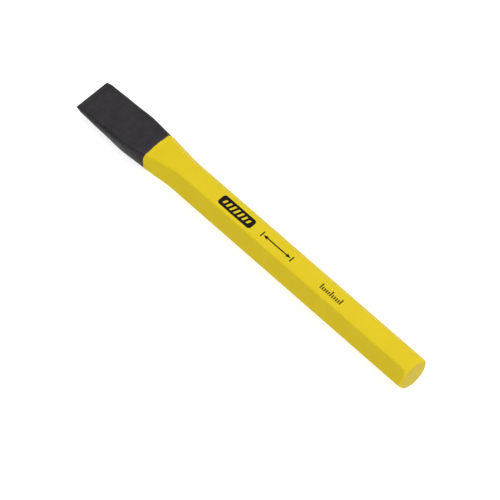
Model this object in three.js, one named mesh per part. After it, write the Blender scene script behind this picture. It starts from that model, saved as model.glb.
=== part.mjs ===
// A cold chisel, drop-forged from hexagonal tool-steel bar. The steel is one piece. A black lacquer covers
// its blade, a yellow enamel covers its shank and head, and black marks are printed on one flat.
// Millimetres. The bar lies on one of its flats at Z = 0: +X runs along it towards the struck head, Y runs
// across the blade, and the printed flat faces +Z. The origin is under the middle of the tool.
import * as THREE from "three";

// Driving dimensions of the finished tool, over its coats
const LENGTH = 171.45; // 6 3/4 inches
const EDGE_WIDTH = 15.875; // 5/8 inch, across the cutting edge
const ACROSS_FLATS = 13; // of the hexagonal shank, on 1/2 inch bar
const PAINT_LINE = 35.2; // from the cutting edge to where the two coats meet
const LACQUER = 0.1; // thickness of the black coat
const ENAMEL = 0.15; // thickness of the yellow coat
const INK = 0.05; // thickness of the printed marks

// The bare steel
const BAR_HALF = ACROSS_FLATS / 2 - ENAMEL; // half across the flats of the bar stock
const BAR_FLAT = BAR_HALF / Math.sqrt(3); // half the width of one flat
const BAR_ARRIS = 0.8; // radius along the bar's six edges
const EDGE_HALF = EDGE_WIDTH / 2 - LACQUER; // half the width of the cutting edge
const EDGE_LAND = 0.08; // half the thickness left at the cutting edge
const SHOULDER = 2.5; // from the cutting edge to the back of the ground bevel
const WEDGE_END = 55; // from the cutting edge to where the wedge would meet the bar stock
const WEDGE_ROUND = 3; // the meeting is rounded off over this far on each side
const TAPER_END = WEDGE_END + WEDGE_ROUND; // from the cutting edge to where the bar stock begins
const AXIS_Z = ACROSS_FLATS / 2;

// The forged taper: a slightly hollow wedge, whose flat narrows while its side ridges come out
const SHOULDER_HALF = 1.4; // half the thickness at the shoulder
const HOLLOW = 0.25; // how far each face lies under a straight wedge at its middle
const SHOULDER_FLAT = 8.1; // half the width of the flat at the shoulder
const BLADE_FLAT = 8.4; // and where the blade's flat is widest
const SPREAD_END = 14; // from the cutting edge to where the flat has that width
const NARROW_START = 20; // from the cutting edge to where the flat begins to narrow
const NARROW_END = 52; // and to where it is as narrow as the bar's
const BLADE_RIDGE = 0.1; // how far a side ridge stands out from the blade's flat
const RIDGE_START = 18; // from the cutting edge to where it begins to stand out further
const RIDGE_END = 44; // and to where it stands out as far as the bar's
const RIDGE_RADIUS = 4; // radius along the blade's side ridges
const RIDGE_SHARPEN = 30; // from the cutting edge to where it begins to fall to the bar's
const CORNER_RADIUS = 2; // radius along the edges of the blade's flats
const CORNER_SHARE = 0.85; // the greatest such radius, as a share of half the thickness

// The turned rounding of the struck end, over the enamel
const RIM_START = 2.2; // how far back from the end it begins
const RIM_END = 0.1; // how far back from the end the slight crown begins
const RIM_OUTER = 7.36; // its radius where it begins, over the bar's edges
const RIM_INNER = 4.85; // its radius where the crown begins

// The raised lip of the enamel at the paint line: distance past the line, thickness of the coat
const LIP = [
  [0, 0.12],
  [0.12, 0.2],
  [0.4, 0.24],
  [0.9, 0.22],
  [1.8, ENAMEL],
];

// How finely the surfaces are divided
const ARC_STEPS = 4; // along each rounded edge of a section
const SIDE_USED = 0.97; // greatest share of a side that its two roundings take
const TAPER_STEP = 2.5; // greatest distance between sections in the taper
const SHANK_STEP = 20; // greatest distance between sections in the straight shank
const RIM_STEPS = 5;

// The printed marks. Their places are distances of their middles from the cutting edge.
const BADGE_AT = 78.6;
const BADGE_LENGTH = 17;
const BADGE_HEIGHT = 4.5;
const BADGE_CORNER = 1.2;
const BADGE_BARS = 7; // slanted bars left clear of ink
const BADGE_BAR_WIDTH = 1;
const BADGE_BAR_HEIGHT = 2.6; // of the middle bar
const BADGE_BAR_FALL = 0.3; // how much lower the outermost bars are, as a share of it
const BADGE_BAR_PITCH = 2.05;
const BADGE_SLANT = 0.35; // how far the top of a bar leans ahead, as a share of its height
const WIDTH_MARK_AT = 99.8;
const WIDTH_MARK_SPAN = EDGE_WIDTH; // between the outer faces of its end bars: the width of the blade
const MARK_HEIGHT = 2.5;
const STROKE = 0.5; // width of a printed line
const ARROW_HEAD = 2; // length of an arrow head
const ARROW_HALF = 0.75; // half its width
const ARROW_GAP = 0.35; // between an arrow's point and the bar that it points at
const SCALE_AT = 128.4;
const SCALE_TICKS = 11;
const SCALE_PITCH = 1; // millimetres from tick to tick
const TICK_SHORT = 1.5;
const TICK_LONG_EVERY = 5;

const steel = new THREE.MeshStandardMaterial({ color: 0x8a8d90, roughness: 0.4, metalness: 1 });
const lacquer = new THREE.MeshStandardMaterial({ color: 0x363436, roughness: 0.6, metalness: 0 });
const enamel = new THREE.MeshStandardMaterial({ color: 0xe5cd32, roughness: 0.35, metalness: 0 });
const ink = new THREE.MeshStandardMaterial({ color: 0x1e1405, roughness: 0.5, metalness: 0 });

const chisel = new THREE.Group();

function addPart(name, geometry, material) {
  const mesh = new THREE.Mesh(geometry, material);
  mesh.name = name;
  chisel.add(mesh);
  return mesh;
}

// A distance from the cutting edge as an X position.
function alongTool(distance) {
  return distance - LENGTH / 2;
}

// ---- Sections of the steel ----

const { lerp, smoothstep } = THREE.MathUtils;

// Half the thickness of the forging at a distance from the cutting edge.
function halfThickness(distance) {
  const slope = (BAR_HALF - SHOULDER_HALF) / (WEDGE_END - SHOULDER);
  const straightEnd = WEDGE_END - WEDGE_ROUND;
  if (distance < straightEnd) {
    const share = (distance - SHOULDER) / (straightEnd - SHOULDER);
    return SHOULDER_HALF + slope * (distance - SHOULDER) - HOLLOW * Math.sin(Math.PI * share);
  }
  const left = Math.max(TAPER_END - distance, 0);
  return BAR_HALF - (slope * left ** 2) / (4 * WEDGE_ROUND);
}

// The six-sided section of the forging behind the shoulder.
function forgedSection(distance) {
  const half = halfThickness(distance);
  const spread = smoothstep(distance, SHOULDER, SPREAD_END);
  const narrowed = smoothstep(distance, NARROW_START, NARROW_END);
  const flat = lerp(lerp(SHOULDER_FLAT, BLADE_FLAT, spread), BAR_FLAT, narrowed);
  const overhang = lerp(BLADE_RIDGE, BAR_FLAT, smoothstep(distance, RIDGE_START, RIDGE_END));
  const sharpened = smoothstep(distance, RIDGE_SHARPEN, NARROW_END);
  return {
    half,
    flat,
    ridge: flat + overhang,
    corner: Math.min(lerp(CORNER_RADIUS, BAR_ARRIS, narrowed), CORNER_SHARE * half),
    ridgeRadius: lerp(RIDGE_RADIUS, BAR_ARRIS, sharpened),
  };
}

// The six-sided section of the steel at a distance from the cutting edge.
function sectionAt(distance) {
  if (distance >= SHOULDER) {
    return forgedSection(distance);
  }
  const share = Math.max(distance - LACQUER, 0) / (SHOULDER - LACQUER);
  const { half, flat, ridge, corner, ridgeRadius } = forgedSection(SHOULDER);
  return {
    half: lerp(EDGE_LAND, half, share),
    flat: lerp(EDGE_HALF, flat, share),
    ridge: lerp(EDGE_HALF, ridge, share),
    corner: lerp(EDGE_LAND, corner, share),
    ridgeRadius: lerp(EDGE_LAND, ridgeRadius, share),
  };
}

// The section's outline with rounded corners, moved outwards by the thickness of a coat. Each point is a
// Vector2 of Y and height above the axis. Every outline has the same number of points. Where a side is too
// short for both of its roundings, the ridge has up to half of it and the corner what is left.
function outline({ half, flat, ridge, corner, ridgeRadius }, coat) {
  const side = Math.hypot(ridge - flat, half);
  const slope = Math.atan2(half, ridge - flat);
  const ridgeReach = Math.min(ridgeRadius / Math.tan(slope), side / 2);
  const cornerReach = Math.min(corner * Math.tan(slope / 2), SIDE_USED * side - ridgeReach);
  const atRidge = ridgeReach * Math.tan(slope);
  const atCorner = cornerReach / Math.tan(slope / 2);
  const vertices = [
    [ridge, 0, atRidge],
    [flat, half, atCorner],
    [-flat, half, atCorner],
    [-ridge, 0, atRidge],
    [-flat, -half, atCorner],
    [flat, -half, atCorner],
  ].map(([y, z, radius]) => ({ at: new THREE.Vector2(y, z), radius }));
  const points = [];
  vertices.forEach(({ at, radius }, i) => {
    const before = vertices[(i + 5) % 6].at.clone().sub(at).normalize();
    const after = vertices[(i + 1) % 6].at.clone().sub(at).normalize();
    const halfAngle = Math.acos(THREE.MathUtils.clamp(before.dot(after), -1, 1)) / 2;
    const travel = after.clone().sub(before).normalize();
    const inward = new THREE.Vector2(-travel.y, travel.x);
    const centre = at.clone().addScaledVector(inward, radius / Math.sin(halfAngle));
    const middle = Math.atan2(-inward.y, -inward.x);
    const swing = Math.PI / 2 - halfAngle;
    for (let k = 0; k <= ARC_STEPS; k += 1) {
      const angle = middle + swing * ((2 * k) / ARC_STEPS - 1);
      const reach = radius + coat;
      points.push(new THREE.Vector2(centre.x + reach * Math.cos(angle), centre.y + reach * Math.sin(angle)));
    }
  });
  return points;
}

// An outline as a ring of points in space, cut to a turned radius about the axis.
function ring(x, points, turned = Infinity) {
  return points.map((p) => {
    const share = Math.min(1, turned / p.length());
    return new THREE.Vector3(x, p.x * share, AXIS_Z + p.y * share);
  });
}

// ---- Rings along the tool ----

// Distances from one place to another in equal steps, with both ends.
function stations(from, to, greatestStep) {
  const count = Math.ceil((to - from) / greatestStep);
  return Array.from({ length: count + 1 }, (_, i) => THREE.MathUtils.lerp(from, to, i / count));
}

// The blade from its cutting edge to the paint line, under or over the black coat.
function bladeRings(coat) {
  const distances = [LACQUER, ...stations(SHOULDER, PAINT_LINE, TAPER_STEP)];
  return distances.map((d) => {
    const x = d === LACQUER ? alongTool(LACQUER - coat) : alongTool(d);
    return ring(x, outline(sectionAt(d), coat));
  });
}

// The neck and shank past the raised lip, under or over the yellow coat.
function shankRings(coatAt) {
  const lipEnd = PAINT_LINE + LIP.at(-1)[0];
  const distances = [
    ...LIP.map(([past]) => PAINT_LINE + past),
    ...stations(lipEnd, TAPER_END, TAPER_STEP).slice(1),
    ...stations(TAPER_END, LENGTH - RIM_START, SHANK_STEP).slice(1),
  ];
  return distances.map((d) => ring(alongTool(d), outline(sectionAt(d), coatAt(d))));
}

// The struck end: a quarter of an ellipse from the shank in to the slightly crowned face.
function headRings(coat) {
  const under = ENAMEL - coat;
  const points = outline(sectionAt(LENGTH), coat);
  const rim = Array.from({ length: RIM_STEPS }, (_, i) => {
    const angle = ((i + 1) / RIM_STEPS) * (Math.PI / 2);
    const back = RIM_START - (RIM_START - RIM_END) * Math.sin(angle);
    const radius = RIM_INNER + (RIM_OUTER - RIM_INNER) * Math.cos(angle);
    return ring(alongTool(LENGTH - under - back), points, radius - under);
  });
  const crown = ring(alongTool(LENGTH - under), points, (RIM_INNER - under) / 2);
  return [...rim, crown];
}

function coatAlong(distance) {
  const past = distance - PAINT_LINE;
  const row = LIP.find(([at]) => Math.abs(at - past) < 1e-6);
  return row ? row[1] : ENAMEL;
}

// A closed body through a run of rings, with a flat cap on the first and the last. Each four-sided cell is
// split along its shorter diagonal, so that a coat and the steel under it share every triangle.
function loft(rings) {
  const count = rings[0].length;
  const middle = (points) => points.reduce((sum, p) => sum.add(p), new THREE.Vector3()).divideScalar(count);
  const vertices = [...rings.flat(), middle(rings[0]), middle(rings.at(-1))];
  const firstCap = rings.length * count;
  const last = firstCap - count;
  const index = [];
  for (let k = 0; k < count; k += 1) {
    const next = (k + 1) % count;
    index.push(firstCap, next, k);
    for (let i = 0; i < rings.length - 1; i += 1) {
      const [a, b] = [i * count, (i + 1) * count];
      const rising = vertices[a + next].distanceTo(vertices[b + k]);
      const falling = vertices[a + k].distanceTo(vertices[b + next]);
      if (rising < falling) {
        index.push(a + k, a + next, b + k, a + next, b + next, b + k);
      } else {
        index.push(a + k, a + next, b + next, a + k, b + next, b + k);
      }
    }
    index.push(firstCap + 1, last + k, last + next);
  }
  const geometry = new THREE.BufferGeometry().setFromPoints(vertices);
  geometry.setIndex(index);
  geometry.computeVertexNormals();
  return geometry;
}

// ---- The forging and its two coats ----

const underBlack = bladeRings(0);
const underYellow = shankRings(() => 0);
const underHead = headRings(0);
const steelRings = [...underBlack, ...underYellow.slice(1), ...underHead];
addPart("forged_steel_bar", loft(steelRings), steel);

// Each coat is a cup: out along its outer surface and back along the steel.
const blackRings = [...bladeRings(LACQUER), ...underBlack.toReversed()];
addPart("black_blade_lacquer", loft(blackRings), lacquer);

const yellowInside = [...underYellow, ...underHead].toReversed();
const yellowOutside = [...shankRings(coatAlong), ...headRings(ENAMEL)];
addPart("yellow_enamel_coat", loft([...yellowInside, ...yellowOutside]), enamel);

// ---- Printed marks, on the top flat ----

// A flat shape printed with its own origin at a distance from the cutting edge.
function printMark(name, shape, distance) {
  const geometry = new THREE.ExtrudeGeometry(shape, { depth: INK, bevelEnabled: false, curveSegments: 5 });
  const mark = addPart(name, geometry, ink);
  mark.position.set(alongTool(distance), 0, ACROSS_FLATS);
  return mark;
}

function shapeOf(points) {
  return new THREE.Shape(points.map(([x, y]) => new THREE.Vector2(x, y)));
}

function rectangle(width, height) {
  return shapeOf([
    [-width / 2, -height / 2],
    [width / 2, -height / 2],
    [width / 2, height / 2],
    [-width / 2, height / 2],
  ]);
}

// A plate with rounded corners, and a row of slanted bars left clear in it.
function badgeShape() {
  const corners = [
    [1, 1],
    [-1, 1],
    [-1, -1],
    [1, -1],
  ];
  const rim = corners.flatMap(([sx, sy], quarter) =>
    Array.from({ length: ARC_STEPS + 1 }, (_, k) => {
      const angle = (quarter + k / ARC_STEPS) * (Math.PI / 2);
      const x = sx * (BADGE_LENGTH / 2 - BADGE_CORNER) + BADGE_CORNER * Math.cos(angle);
      const y = sy * (BADGE_HEIGHT / 2 - BADGE_CORNER) + BADGE_CORNER * Math.sin(angle);
      return [x, y];
    }),
  );
  const plate = shapeOf(rim);
  const w = BADGE_BAR_WIDTH / 2;
  const middleBar = (BADGE_BARS - 1) / 2;
  for (let i = 0; i < BADGE_BARS; i += 1) {
    const at = (i - middleBar) * BADGE_BAR_PITCH;
    const h = (BADGE_BAR_HEIGHT / 2) * (1 - BADGE_BAR_FALL * (i / middleBar - 1) ** 2);
    const lean = BADGE_SLANT * h;
    plate.holes.push(
      shapeOf([
        [at - w - lean, -h],
        [at - w + lean, h],
        [at + w + lean, h],
        [at + w - lean, -h],
      ]),
    );
  }
  return plate;
}

// An arrow with a head at each end, between the two end bars of the width mark.
function arrowShape() {
  const tip = WIDTH_MARK_SPAN / 2 - STROKE - ARROW_GAP;
  const neck = tip - ARROW_HEAD;
  const half = STROKE / 2;
  return shapeOf([
    [-tip, 0],
    [-neck, -ARROW_HALF],
    [-neck, -half],
    [neck, -half],
    [neck, -ARROW_HALF],
    [tip, 0],
    [neck, ARROW_HALF],
    [neck, half],
    [-neck, half],
    [-neck, ARROW_HALF],
  ]);
}

printMark("printed_badge", badgeShape(), BADGE_AT);

const endBarOffset = (WIDTH_MARK_SPAN - STROKE) / 2;
printMark("printed_width_end_1", rectangle(STROKE, MARK_HEIGHT), WIDTH_MARK_AT - endBarOffset);
printMark("printed_width_arrow", arrowShape(), WIDTH_MARK_AT);
printMark("printed_width_end_2", rectangle(STROKE, MARK_HEIGHT), WIDTH_MARK_AT + endBarOffset);

for (let i = 0; i < SCALE_TICKS; i += 1) {
  const height = i % TICK_LONG_EVERY === 0 ? MARK_HEIGHT : TICK_SHORT;
  const name = `printed_scale_tick_${String(i + 1).padStart(2, "0")}`;
  const at = SCALE_AT + (i - (SCALE_TICKS - 1) / 2) * SCALE_PITCH;
  const tick = printMark(name, rectangle(STROKE, height), at);
  tick.position.y = (height - MARK_HEIGHT) / 2;
}

export default chisel;
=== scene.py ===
# A cold chisel on a pale studio floor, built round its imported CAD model. Metres, in the row frame: +X runs
# along the tool towards the struck head, Y runs across the blade, and the floor is at Z = 0.
import math

import bpy
from mathutils import Matrix, Vector, noise


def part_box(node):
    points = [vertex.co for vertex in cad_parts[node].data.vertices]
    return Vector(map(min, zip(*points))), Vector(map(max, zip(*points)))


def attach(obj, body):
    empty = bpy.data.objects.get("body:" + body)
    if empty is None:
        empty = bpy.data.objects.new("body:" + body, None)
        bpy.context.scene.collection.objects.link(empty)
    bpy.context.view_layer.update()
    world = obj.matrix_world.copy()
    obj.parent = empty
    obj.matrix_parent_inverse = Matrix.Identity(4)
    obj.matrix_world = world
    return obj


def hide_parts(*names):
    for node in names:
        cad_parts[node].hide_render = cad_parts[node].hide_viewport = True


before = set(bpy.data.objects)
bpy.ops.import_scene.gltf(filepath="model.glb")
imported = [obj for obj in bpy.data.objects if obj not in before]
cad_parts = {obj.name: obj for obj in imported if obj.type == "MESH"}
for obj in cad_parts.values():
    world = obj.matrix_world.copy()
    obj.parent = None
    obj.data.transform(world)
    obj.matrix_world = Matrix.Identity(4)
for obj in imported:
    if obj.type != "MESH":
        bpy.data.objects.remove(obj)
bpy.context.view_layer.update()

MM = 0.001

# ---- Where things are, from the CAD model ----

black_low, black_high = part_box("black_blade_lacquer")
yellow_low, yellow_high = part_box("yellow_enamel_coat")
EDGE_X = black_low.x
LINE_X = yellow_low.x
HEAD_X = yellow_high.x
FLATS = (yellow_high.z - yellow_low.z) / MM  # across the flats of the shank, in millimetres
AXIS_Z = (yellow_high.z + yellow_low.z) / 2
LENGTH = (HEAD_X - EDGE_X) / MM
LINE = (LINE_X - EDGE_X) / MM

# ---- The chisel's own dimensions, in millimetres ----

EDGE_WIDTH = 15.875
LACQUER = 0.1
ENAMEL = 0.15
BAR_HALF = FLATS / 2 - ENAMEL
BAR_FLAT = BAR_HALF / math.sqrt(3)
BAR_ARRIS = 0.8
EDGE_HALF = EDGE_WIDTH / 2 - LACQUER
EDGE_LAND = 0.08
SHOULDER = 2.5
WEDGE_END = 55
WEDGE_ROUND = 3
TAPER_END = WEDGE_END + WEDGE_ROUND

# The forged taper: a slightly hollow wedge, whose flat narrows while its side ridges come out
SHOULDER_HALF = 1.4  # half the thickness at the shoulder
HOLLOW = 0.25  # how far each face lies under a straight wedge at its middle
SHOULDER_FLAT = 8.1  # half the width of the flat at the shoulder
BLADE_FLAT = 8.4  # and where the blade's flat is widest
SPREAD_END = 14
NARROW_START = 20
NARROW_END = 52
BLADE_RIDGE = 0.1  # how far a side ridge stands out from the blade's flat
RIDGE_START = 18
RIDGE_END = 44
RIDGE_RADIUS = 4
RIDGE_SHARPEN = 30
CORNER_RADIUS = 2
CORNER_SHARE = 0.85  # the greatest such radius, as a share of half the thickness

# The turned rounding of the struck end
RIM_START = 2.2
RIM_END = 0.1
RIM_OUTER = 7.36
RIM_INNER = 4.85

# The raised lip of the enamel at the paint line
LIP_HEIGHT = 0.09  # over the rest of the coat
LIP_ROUND = 0.35  # from the line to where the lip is thickest
LIP_LENGTH = 1.8
LEAST_RISE = 0.05  # the share of its thickness that the coat has at the very line

# The wandering paint line: how far it runs on towards the head past LINE, and angles round the section
RUN_EVERYWHERE = 0.42
RUN_AT_RIDGE = 1.25  # further, at a side ridge
RIDGE_REACH = 0.42  # radians from the ridge to where that has died away
RUN_IN_MIDDLE = -0.25  # further, in the middle of a flat
MIDDLE_FROM = 0.8  # radians from the ridge to where that begins
MIDDLE_TO = 1.2
RUN_BELOW = 0.12  # further below than above
RUN_RIPPLE = 0.05
LINE_REACH = 2.0  # a little more than the furthest the line runs on
WANDER_BEFORE = 6  # the coats follow the line from this far before it
WANDER_FROM = 0.5  # and fully until this far past it
WANDER_TO = 8  # and no more from here on

# The unevenness of the surfaces: sizes of its waves along the surface
FORGED_WAVE = 9
FACE_WAVE = 3.1
RIM_WAVE = 2.4
DENT_WAVE = 1.7
APART = Vector((50, 0, 0))  # keeps the second wave from following the first
EVEN_FROM = TAPER_END - 14  # the top and bottom flats become even from here
EVEN_TO = TAPER_END - 2

SIDE_USED = 0.97  # greatest share of a side that its two roundings take
ARC_STEPS = 8  # along each rounded edge of a section
FLAT_STEPS = 12  # across each flat of a section
TAPER_STEP = 0.6
SHANK_STEP = 1.5
RIM_STEPS = 14
CROWN_STEPS = 8


# ---- Sections ----


def smooth(a, b, value):
    t = max(0, min(1, (value - a) / (b - a)))
    return t * t * (3 - 2 * t)


def mixed(start, end, share):
    return start + (end - start) * share


def half_thickness(distance):
    """Half the thickness of the forging at a distance from the cutting edge."""
    slope = (BAR_HALF - SHOULDER_HALF) / (WEDGE_END - SHOULDER)
    straight_end = WEDGE_END - WEDGE_ROUND
    if distance < straight_end:
        share = (distance - SHOULDER) / (straight_end - SHOULDER)
        return SHOULDER_HALF + slope * (distance - SHOULDER) - HOLLOW * math.sin(math.pi * share)
    left = max(TAPER_END - distance, 0)
    return BAR_HALF - slope * left**2 / (4 * WEDGE_ROUND)


def forged_section(distance):
    """(half thickness, half flat, half ridge, corner radius, ridge radius) behind the shoulder."""
    half = half_thickness(distance)
    narrowed = smooth(NARROW_START, NARROW_END, distance)
    flat = mixed(mixed(SHOULDER_FLAT, BLADE_FLAT, smooth(SHOULDER, SPREAD_END, distance)), BAR_FLAT, narrowed)
    overhang = mixed(BLADE_RIDGE, BAR_FLAT, smooth(RIDGE_START, RIDGE_END, distance))
    corner = min(mixed(CORNER_RADIUS, BAR_ARRIS, narrowed), CORNER_SHARE * half)
    ridge_radius = mixed(RIDGE_RADIUS, BAR_ARRIS, smooth(RIDGE_SHARPEN, NARROW_END, distance))
    return half, flat, flat + overhang, corner, ridge_radius


def section_at(distance):
    """The section of the steel at a distance from the cutting edge."""
    if distance >= SHOULDER:
        return forged_section(distance)
    share = max(distance - LACQUER, 0) / (SHOULDER - LACQUER)
    at_edge = (EDGE_LAND, EDGE_HALF, EDGE_HALF, EDGE_LAND, EDGE_LAND)
    return tuple(mixed(a, b, share) for a, b in zip(at_edge, forged_section(SHOULDER)))


def outline(section, coat):
    """[(y, z)] in millimetres round the section with rounded corners, moved out by a coat's thickness."""
    half, flat, ridge, corner, ridge_radius = section
    side = math.hypot(ridge - flat, half)
    slope = math.atan2(half, ridge - flat)
    ridge_reach = min(ridge_radius / math.tan(slope), side / 2)
    corner_reach = min(corner * math.tan(slope / 2), SIDE_USED * side - ridge_reach)
    at_ridge = ridge_reach * math.tan(slope)
    at_corner = corner_reach / math.tan(slope / 2)
    corners = [
        (Vector((ridge, 0)), at_ridge),
        (Vector((flat, half)), at_corner),
        (Vector((-flat, half)), at_corner),
        (Vector((-ridge, 0)), at_ridge),
        (Vector((-flat, -half)), at_corner),
        (Vector((flat, -half)), at_corner),
    ]
    arcs = []
    for i, (at, rounded) in enumerate(corners):
        before = (corners[i - 1][0] - at).normalized()
        after = (corners[(i + 1) % 6][0] - at).normalized()
        half_angle = math.acos(max(-1, min(1, before.dot(after)))) / 2
        travel = (after - before).normalized()
        inward = Vector((-travel.y, travel.x))
        centre = at + inward * (rounded / math.sin(half_angle))
        middle = math.atan2(-inward.y, -inward.x)
        swing = math.pi / 2 - half_angle
        arc = []
        for k in range(ARC_STEPS + 1):
            angle = middle + swing * (2 * k / ARC_STEPS - 1)
            arc.append(centre + (rounded + coat) * Vector((math.cos(angle), math.sin(angle))))
        arcs.append(arc)
    points = []
    for i, arc in enumerate(arcs):
        following = arcs[(i + 1) % 6][0]
        points += arc
        points += [arc[-1].lerp(following, k / FLAT_STEPS) for k in range(1, FLAT_STEPS)]
    return points


# ---- Rings in space ----


def uneven(point, scale, depth):
    """How far the surface lies under its true place: 0 to depth, smooth over a scale, all in millimetres."""
    return depth * (0.5 - 0.5 * noise.noise(point / scale))


def waver(point, scale, depth):
    """The same, but as much over as under the true place."""
    return -0.5 * depth * noise.noise(point / scale)


def sunk(distance, y, z, forged, face):
    """A point in millimetres, moved towards or away from the axis by the unevenness of the surface."""
    at = Vector((distance, y, z))
    reach = math.hypot(y, z)
    depth = waver(at, FORGED_WAVE, forged) + uneven(at + APART, FACE_WAVE, face)
    share = 1 - depth / reach
    return distance, y * share, z * share


def placed(distance, y, z):
    return Vector((EDGE_X + distance * MM, y * MM, AXIS_Z + z * MM))


def line_shift(y, z):
    """How far the paint line runs on towards the head, round the section. It runs furthest at the ridges."""
    angle = math.atan2(z, y)
    from_ridge = min(abs(angle), math.pi - abs(angle))
    ridge_run = RUN_AT_RIDGE * (1 - smooth(0, RIDGE_REACH, from_ridge))
    middle_run = RUN_IN_MIDDLE * smooth(MIDDLE_FROM, MIDDLE_TO, from_ridge)
    ripple = RUN_RIPPLE * math.sin(3 * angle + 2)
    return RUN_EVERYWHERE + ridge_run + middle_run - RUN_BELOW * math.sin(angle) + ripple


def coat_ring(distance, coat, wander, forged, face):
    """A ring of a coat, which follows the wandering of the paint line by a share."""
    points = []
    here = outline(section_at(distance), coat)
    further = outline(section_at(distance + LINE_REACH), coat)
    flat_share = smooth(EVEN_FROM, EVEN_TO, distance)
    for (y, z), beyond in zip(here, further):
        shift = wander * line_shift(y, z)
        y, z = Vector((y, z)).lerp(beyond, shift / LINE_REACH)
        left = 1 - flat_share * (abs(z) > BAR_HALF)
        points.append(placed(*sunk(distance + shift, y, z, forged * left, face * left)))
    return points


def steps(start, end, greatest):
    count = math.ceil((end - start) / greatest)
    return [start + (end - start) * i / count for i in range(count + 1)]


def loft(name, rings, close_start, close_end):
    """A mesh through rings of points, with a fan over each end that is closed."""
    count = len(rings[0])
    vertices = [p for r in rings for p in r]
    faces = []
    for i in range(len(rings) - 1):
        a, b = i * count, (i + 1) * count
        faces += [(a + k, b + k, b + (k + 1) % count, a + (k + 1) % count)[::-1] for k in range(count)]
    if close_start:
        vertices.append(sum(rings[0], Vector()) / count)
        faces += [(len(vertices) - 1, (k + 1) % count, k) for k in range(count)]
    if close_end:
        last = (len(rings) - 1) * count
        vertices.append(sum(rings[-1], Vector()) / count)
        faces += [(len(vertices) - 1, last + k, last + (k + 1) % count) for k in range(count)]
    mesh = bpy.data.meshes.new(name)
    mesh.from_pydata(vertices, [], faces)
    mesh.validate()
    mesh.shade_smooth()
    piece = bpy.data.objects.new(name, mesh)
    bpy.context.collection.objects.link(piece)
    return piece


# ---- The black lacquer on the blade ----

LACQUER_FORGED = 0.05
LACQUER_FACE = 0.02
FACE_FROM = 1  # the ground edge before this has no face unevenness
NOSE_STEPS = 4
FIRST_RING = 0.6  # behind the rounded nose
BEVEL_STEP = 0.5
THIN_EDGE = 0.01  # of the lacquer at the paint line

black_rings = []
for step in range(1, NOSE_STEPS + 1):
    turn = math.pi / 2 * step / NOSE_STEPS
    coat = LACQUER * math.sin(turn)
    points = outline(section_at(0), coat)
    black_rings.append([placed(LACQUER * (1 - math.cos(turn)), y, z) for y, z in points])
for distance in steps(FIRST_RING, SHOULDER, BEVEL_STEP) + steps(SHOULDER, LINE, TAPER_STEP)[1:]:
    wander = smooth(LINE - WANDER_BEFORE, LINE, distance)
    forged = LACQUER_FORGED * smooth(0, SHOULDER, distance)
    black_rings.append(coat_ring(distance, LACQUER, wander, forged, LACQUER_FACE * (distance > FACE_FROM)))
black_rings.append(coat_ring(LINE, THIN_EDGE, 1, 0, 0))
lacquer_piece = loft("blade_lacquer", black_rings, True, False)

# ---- The yellow enamel on the neck, shank and head ----

ENAMEL_FORGED = 0.05
ENAMEL_FACE = 0.015
FORGED_FULL = 2  # past the line to where the enamel's forged unevenness is full
RIM_UNEVEN = 0.05
RIM_FULL = 0.4  # past the start of the rim to where its unevenness is full
RIM_ALONG = 0.5  # below 1, so it stretches the rim's waves along the tool
RIM_ACROSS = 0.6  # and this stretches them across it
RIM_APART = Vector((0, 31, 0))  # where in the noise the rim's waves are taken from
DENT_DEPTH = 0.03
DENT_END = 0.6  # back from the struck face to where its dents have died away
DENT_APART = 7  # where in the noise the dents are taken from


def lip(past):
    """Thickness of the enamel at a distance past the paint line."""
    rise = math.sqrt(max(0, 1 - (1 - min(past, LIP_ROUND) / LIP_ROUND) ** 2))
    return (ENAMEL + LIP_HEIGHT * (1 - smooth(LIP_ROUND, LIP_LENGTH, past))) * max(rise, LEAST_RISE)


yellow_rings = []
lip_steps = [0, 0.01, 0.04, 0.09, 0.16, 0.25, 0.35, 0.5, 0.7, 0.95, 1.25, 1.55, LIP_LENGTH]
stations = [LINE + past for past in lip_steps]
stations += steps(LINE + LIP_LENGTH, TAPER_END, TAPER_STEP)[1:]
stations += steps(TAPER_END, LENGTH - RIM_START, SHANK_STEP)[1:]
for distance in stations:
    past = distance - LINE
    wander = 1 - smooth(WANDER_FROM, WANDER_TO, past)
    forged = ENAMEL_FORGED * smooth(0, FORGED_FULL, past)
    yellow_rings.append(coat_ring(distance, lip(past), wander, forged, ENAMEL_FACE))

end_points = outline(section_at(LENGTH), ENAMEL)


def head_ring(back, radius):
    points = []
    for y, z in end_points:
        reach = math.hypot(y, z)
        wave_place = Vector((back * RIM_ALONG, y * RIM_ACROSS, z * RIM_ACROSS)) + RIM_APART
        uneven_rim = uneven(wave_place, RIM_WAVE, RIM_UNEVEN)
        held = min(reach, radius - uneven_rim * smooth(0, RIM_FULL, RIM_START - back))
        share = held / reach
        dent = uneven(Vector((DENT_APART, y * share, z * share)), DENT_WAVE, DENT_DEPTH)
        dent *= smooth(DENT_END, 0, back)
        points.append(placed(LENGTH - back - dent, y * share, z * share))
    return points


for step in range(1, RIM_STEPS + 1):
    turn = math.pi / 2 * step / RIM_STEPS
    back = RIM_START - (RIM_START - RIM_END) * math.sin(turn)
    yellow_rings.append(head_ring(back, RIM_INNER + (RIM_OUTER - RIM_INNER) * math.cos(turn)))
for step in range(1, CROWN_STEPS):
    share = 1 - step / CROWN_STEPS
    yellow_rings.append(head_ring(RIM_END * share**2, RIM_INNER * share))
enamel_piece = loft("enamel_coat", yellow_rings, False, True)


# ---- Materials ----


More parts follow.
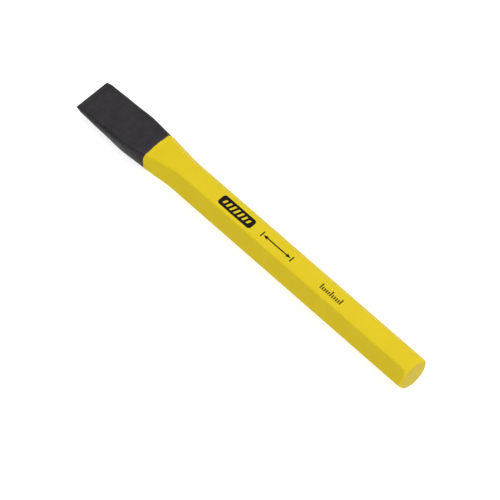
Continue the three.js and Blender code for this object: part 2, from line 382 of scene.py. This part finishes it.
class Shader:
    """A procedural material in object space, built one node at a time."""

    def __init__(self, name):
        self.material = bpy.data.materials.new(name)
        self.material.use_nodes = True
        self.tree = self.material.node_tree
        self.tree.nodes.clear()
        self.surface = self.node("ShaderNodeBsdfPrincipled")
        output = self.node("ShaderNodeOutputMaterial")
        self.tree.links.new(self.surface.outputs["BSDF"], output.inputs["Surface"])
        self.place = self.node("ShaderNodeTexCoord").outputs["Object"]

    def node(self, kind, **settings):
        made = self.tree.nodes.new(kind)
        for key, value in settings.items():
            setattr(made, key, value)
        return made

    def feed(self, socket, value):
        if isinstance(value, bpy.types.NodeSocket):
            self.tree.links.new(value, socket)
        elif isinstance(value, tuple):
            socket.default_value = (*value, 1)
        else:
            socket.default_value = value

    def noise(self, size, detail=2.0, roughness=0.5, stretch=(1, 1, 1)):
        """Noise from 0 to 1 whose features are about that many millimetres across."""
        mapping = self.node("ShaderNodeMapping")
        self.feed(mapping.inputs["Vector"], self.place)
        mapping.inputs["Scale"].default_value = [1 / s for s in stretch]
        texture = self.node("ShaderNodeTexNoise")
        self.feed(texture.inputs["Vector"], mapping.outputs["Vector"])
        texture.inputs["Scale"].default_value = 1 / (size * MM)
        texture.inputs["Detail"].default_value = detail
        texture.inputs["Roughness"].default_value = roughness
        return texture.outputs["Fac"]

    def remap(self, value, low, high, to_low=0.0, to_high=1.0):
        made = self.node("ShaderNodeMapRange", interpolation_type="SMOOTHSTEP")
        self.feed(made.inputs["Value"], value)
        for key, number in zip(("From Min", "From Max", "To Min", "To Max"), (low, high, to_low, to_high)):
            made.inputs[key].default_value = number
        return made.outputs["Result"]

    def mix(self, share, first, second):
        made = self.node("ShaderNodeMix", data_type="RGBA")
        self.feed(made.inputs["Factor"], share)
        self.feed(made.inputs[6], first)
        self.feed(made.inputs[7], second)
        return made.outputs[2]

    def times(self, first, second):
        made = self.node("ShaderNodeMath", operation="MULTIPLY")
        self.feed(made.inputs[0], first)
        self.feed(made.inputs[1], second)
        return made.outputs[0]

    def axis(self, name):
        split = self.node("ShaderNodeSeparateXYZ")
        self.feed(split.inputs[0], self.place)
        return split.outputs[name]

    def bump(self, height, depth, strength, under=None):
        """Adds relief that many millimetres deep, over an earlier bump if there is one."""
        made = self.node("ShaderNodeBump")
        made.inputs["Strength"].default_value = strength
        made.inputs["Distance"].default_value = depth * MM
        self.feed(made.inputs["Height"], height)
        if under:
            self.feed(made.inputs["Normal"], under)
        return made.outputs["Normal"]

    def set(self, **inputs):
        for key, value in inputs.items():
            self.feed(self.surface.inputs[key.replace("_", " ")], value)
        return self.material


def enamel_material():
    s = Shader("yellow enamel")
    cloud = s.noise(14, 3, 0.6)
    yellow = s.mix(s.remap(cloud, 0.3, 0.7), (0.845, 0.645, 0.009), (0.875, 0.67, 0.012))
    streak = s.remap(s.noise(2.2, 2, 0.5, (6, 1, 1)), 0.45, 0.8, 0.0, 0.15)
    yellow = s.mix(streak, yellow, (0.825, 0.61, 0.014))
    end = s.remap(s.axis("X"), HEAD_X - 0.5 * MM, HEAD_X - 0.1 * MM)
    blotch = s.remap(s.noise(1.6, 4, 0.65), 0.35, 0.65, 0.2, 0.6)
    yellow = s.mix(s.times(end, blotch), yellow, (0.62, 0.47, 0.08))
    rough = s.remap(s.noise(3, 3, 0.6), 0.3, 0.7, 0.6, 0.72)
    peel = s.bump(s.noise(1.1, 2, 0.4), 0.015, 0.4)
    nibs = s.bump(s.remap(s.noise(0.5, 0, 0.5), 0.72, 0.82), 0.015, 0.3, peel)
    return s.set(Base_Color=yellow, Roughness=rough, Normal=nibs, IOR=1.35, Specular_IOR_Level=0.5)


def lacquer_material():
    s = Shader("black lacquer")
    blotch = s.remap(s.noise(3.5, 4, 0.65), 0.35, 0.65)
    black = s.mix(blotch, (0.0155, 0.013, 0.0165), (0.0235, 0.0205, 0.024))
    rough = s.remap(s.noise(2.5, 3, 0.6), 0.3, 0.7, 0.5, 0.65)
    scale = s.bump(s.noise(1.6, 4, 0.6), 0.05, 0.5)
    return s.set(Base_Color=black, Roughness=rough, Normal=scale, IOR=1.5, Specular_IOR_Level=0.5)


def ink_material():
    s = Shader("black ink")
    black = s.mix(s.remap(s.noise(0.6, 3, 0.6), 0.3, 0.75), (0.006, 0.004, 0.003), (0.012, 0.008, 0.004))
    grain = s.bump(s.noise(0.35, 2, 0.5), 0.006, 0.5)
    return s.set(Base_Color=black, Roughness=0.5, Normal=grain, IOR=1.45, Specular_IOR_Level=0.15)


def steel_material():
    s = Shader("forged steel")
    grey = s.mix(s.noise(2.5, 3, 0.6), (0.48, 0.49, 0.5), (0.58, 0.585, 0.59))
    rough = s.remap(s.noise(0.6, 3, 0.6, (8, 1, 1)), 0.3, 0.7, 0.34, 0.5)
    return s.set(Base_Color=grey, Metallic=1.0, Roughness=rough)


def floor_material():
    s = Shader("white paper")
    paper = s.mix(s.noise(300, 2, 0.5), (0.35, 0.35, 0.35), (0.37, 0.37, 0.37))
    return s.set(
        Base_Color=paper,
        Roughness=0.9,
        Specular_IOR_Level=0.0,
        Emission_Color=(1.0, 1.0, 1.0),
        Emission_Strength=0.85,
    )


lacquer_piece.data.materials.append(lacquer_material())
enamel_piece.data.materials.append(enamel_material())
ink = ink_material()
steel = steel_material()
for name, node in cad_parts.items():
    for place in node.material_slots:
        place.material = ink if name.startswith("printed_") else steel

for piece, node, slot in (
    (lacquer_piece, "black_blade_lacquer", "black_lacquer"),
    (enamel_piece, "yellow_enamel_coat", "yellow_enamel"),
):
    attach(piece, "root")
    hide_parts(node)

# ---- Floor, light and camera ----

FLOOR_HALF = 3.0
floor_mesh = bpy.data.meshes.new("floor")
floor_corners = [(-1, -1), (1, -1), (1, 1), (-1, 1)]
floor_mesh.from_pydata([(x * FLOOR_HALF, y * FLOOR_HALF, 0) for x, y in floor_corners], [], [(0, 1, 2, 3)])
floor = bpy.data.objects.new("floor", floor_mesh)
bpy.context.collection.objects.link(floor)
floor_mesh.materials.append(floor_material())

world = bpy.data.worlds.new("soft white room")
world.use_nodes = True
world.node_tree.nodes["Background"].inputs["Color"].default_value = (1, 1, 1, 1)
world.node_tree.nodes["Background"].inputs["Strength"].default_value = 0.1
bpy.context.scene.world = world


def soft_light(name, size, power, direction, distance):
    """A square light shining at the middle of the tool from a direction."""
    lamp = bpy.data.lights.new(name, "AREA")
    lamp.shape = "SQUARE"
    lamp.size = size
    lamp.energy = power
    holder = bpy.data.objects.new(name, lamp)
    away = Vector(direction).normalized()
    holder.location = Vector((0, 0, AXIS_Z)) + away * distance
    holder.rotation_mode = "QUATERNION"
    holder.rotation_quaternion = away.to_track_quat("Z", "Y")
    bpy.context.collection.objects.link(holder)


soft_light("overhead softbox", 3.2, 102, (0.2, 0.1, 1), 3.0)

CAMERA_AZIMUTH = 45.78
CAMERA_ELEVATION = 58.1
CAMERA_DISTANCE = 2.0
CAMERA_LENS = 388.3
AIM_LOW = 6.38 * MM  # the tool sits this far above the middle of the picture
AIM_LEFT = 0.18 * MM  # and this far to the right of it

azimuth = math.radians(CAMERA_AZIMUTH)
elevation = math.radians(CAMERA_ELEVATION)
back = Vector(
    (
        math.sin(azimuth) * math.cos(elevation),
        -math.cos(azimuth) * math.cos(elevation),
        math.sin(elevation),
    )
)
right = Vector((math.cos(azimuth), math.sin(azimuth), 0))
up = back.cross(right)
camera_data = bpy.data.cameras.new("camera")
camera_data.sensor_width = 36
camera_data.lens = CAMERA_LENS
camera_data.clip_start = 0.1
camera_data.clip_end = 20
camera = bpy.data.objects.new("camera", camera_data)
camera.rotation_mode = "QUATERNION"
camera.rotation_quaternion = Matrix((right, up, back)).transposed().to_quaternion()
camera.location = Vector((0, 0, AXIS_Z)) - up * AIM_LOW - right * AIM_LEFT + back * CAMERA_DISTANCE
bpy.context.collection.objects.link(camera)
bpy.context.scene.camera = camera
bpy.context.scene.view_settings.view_transform = "Standard"
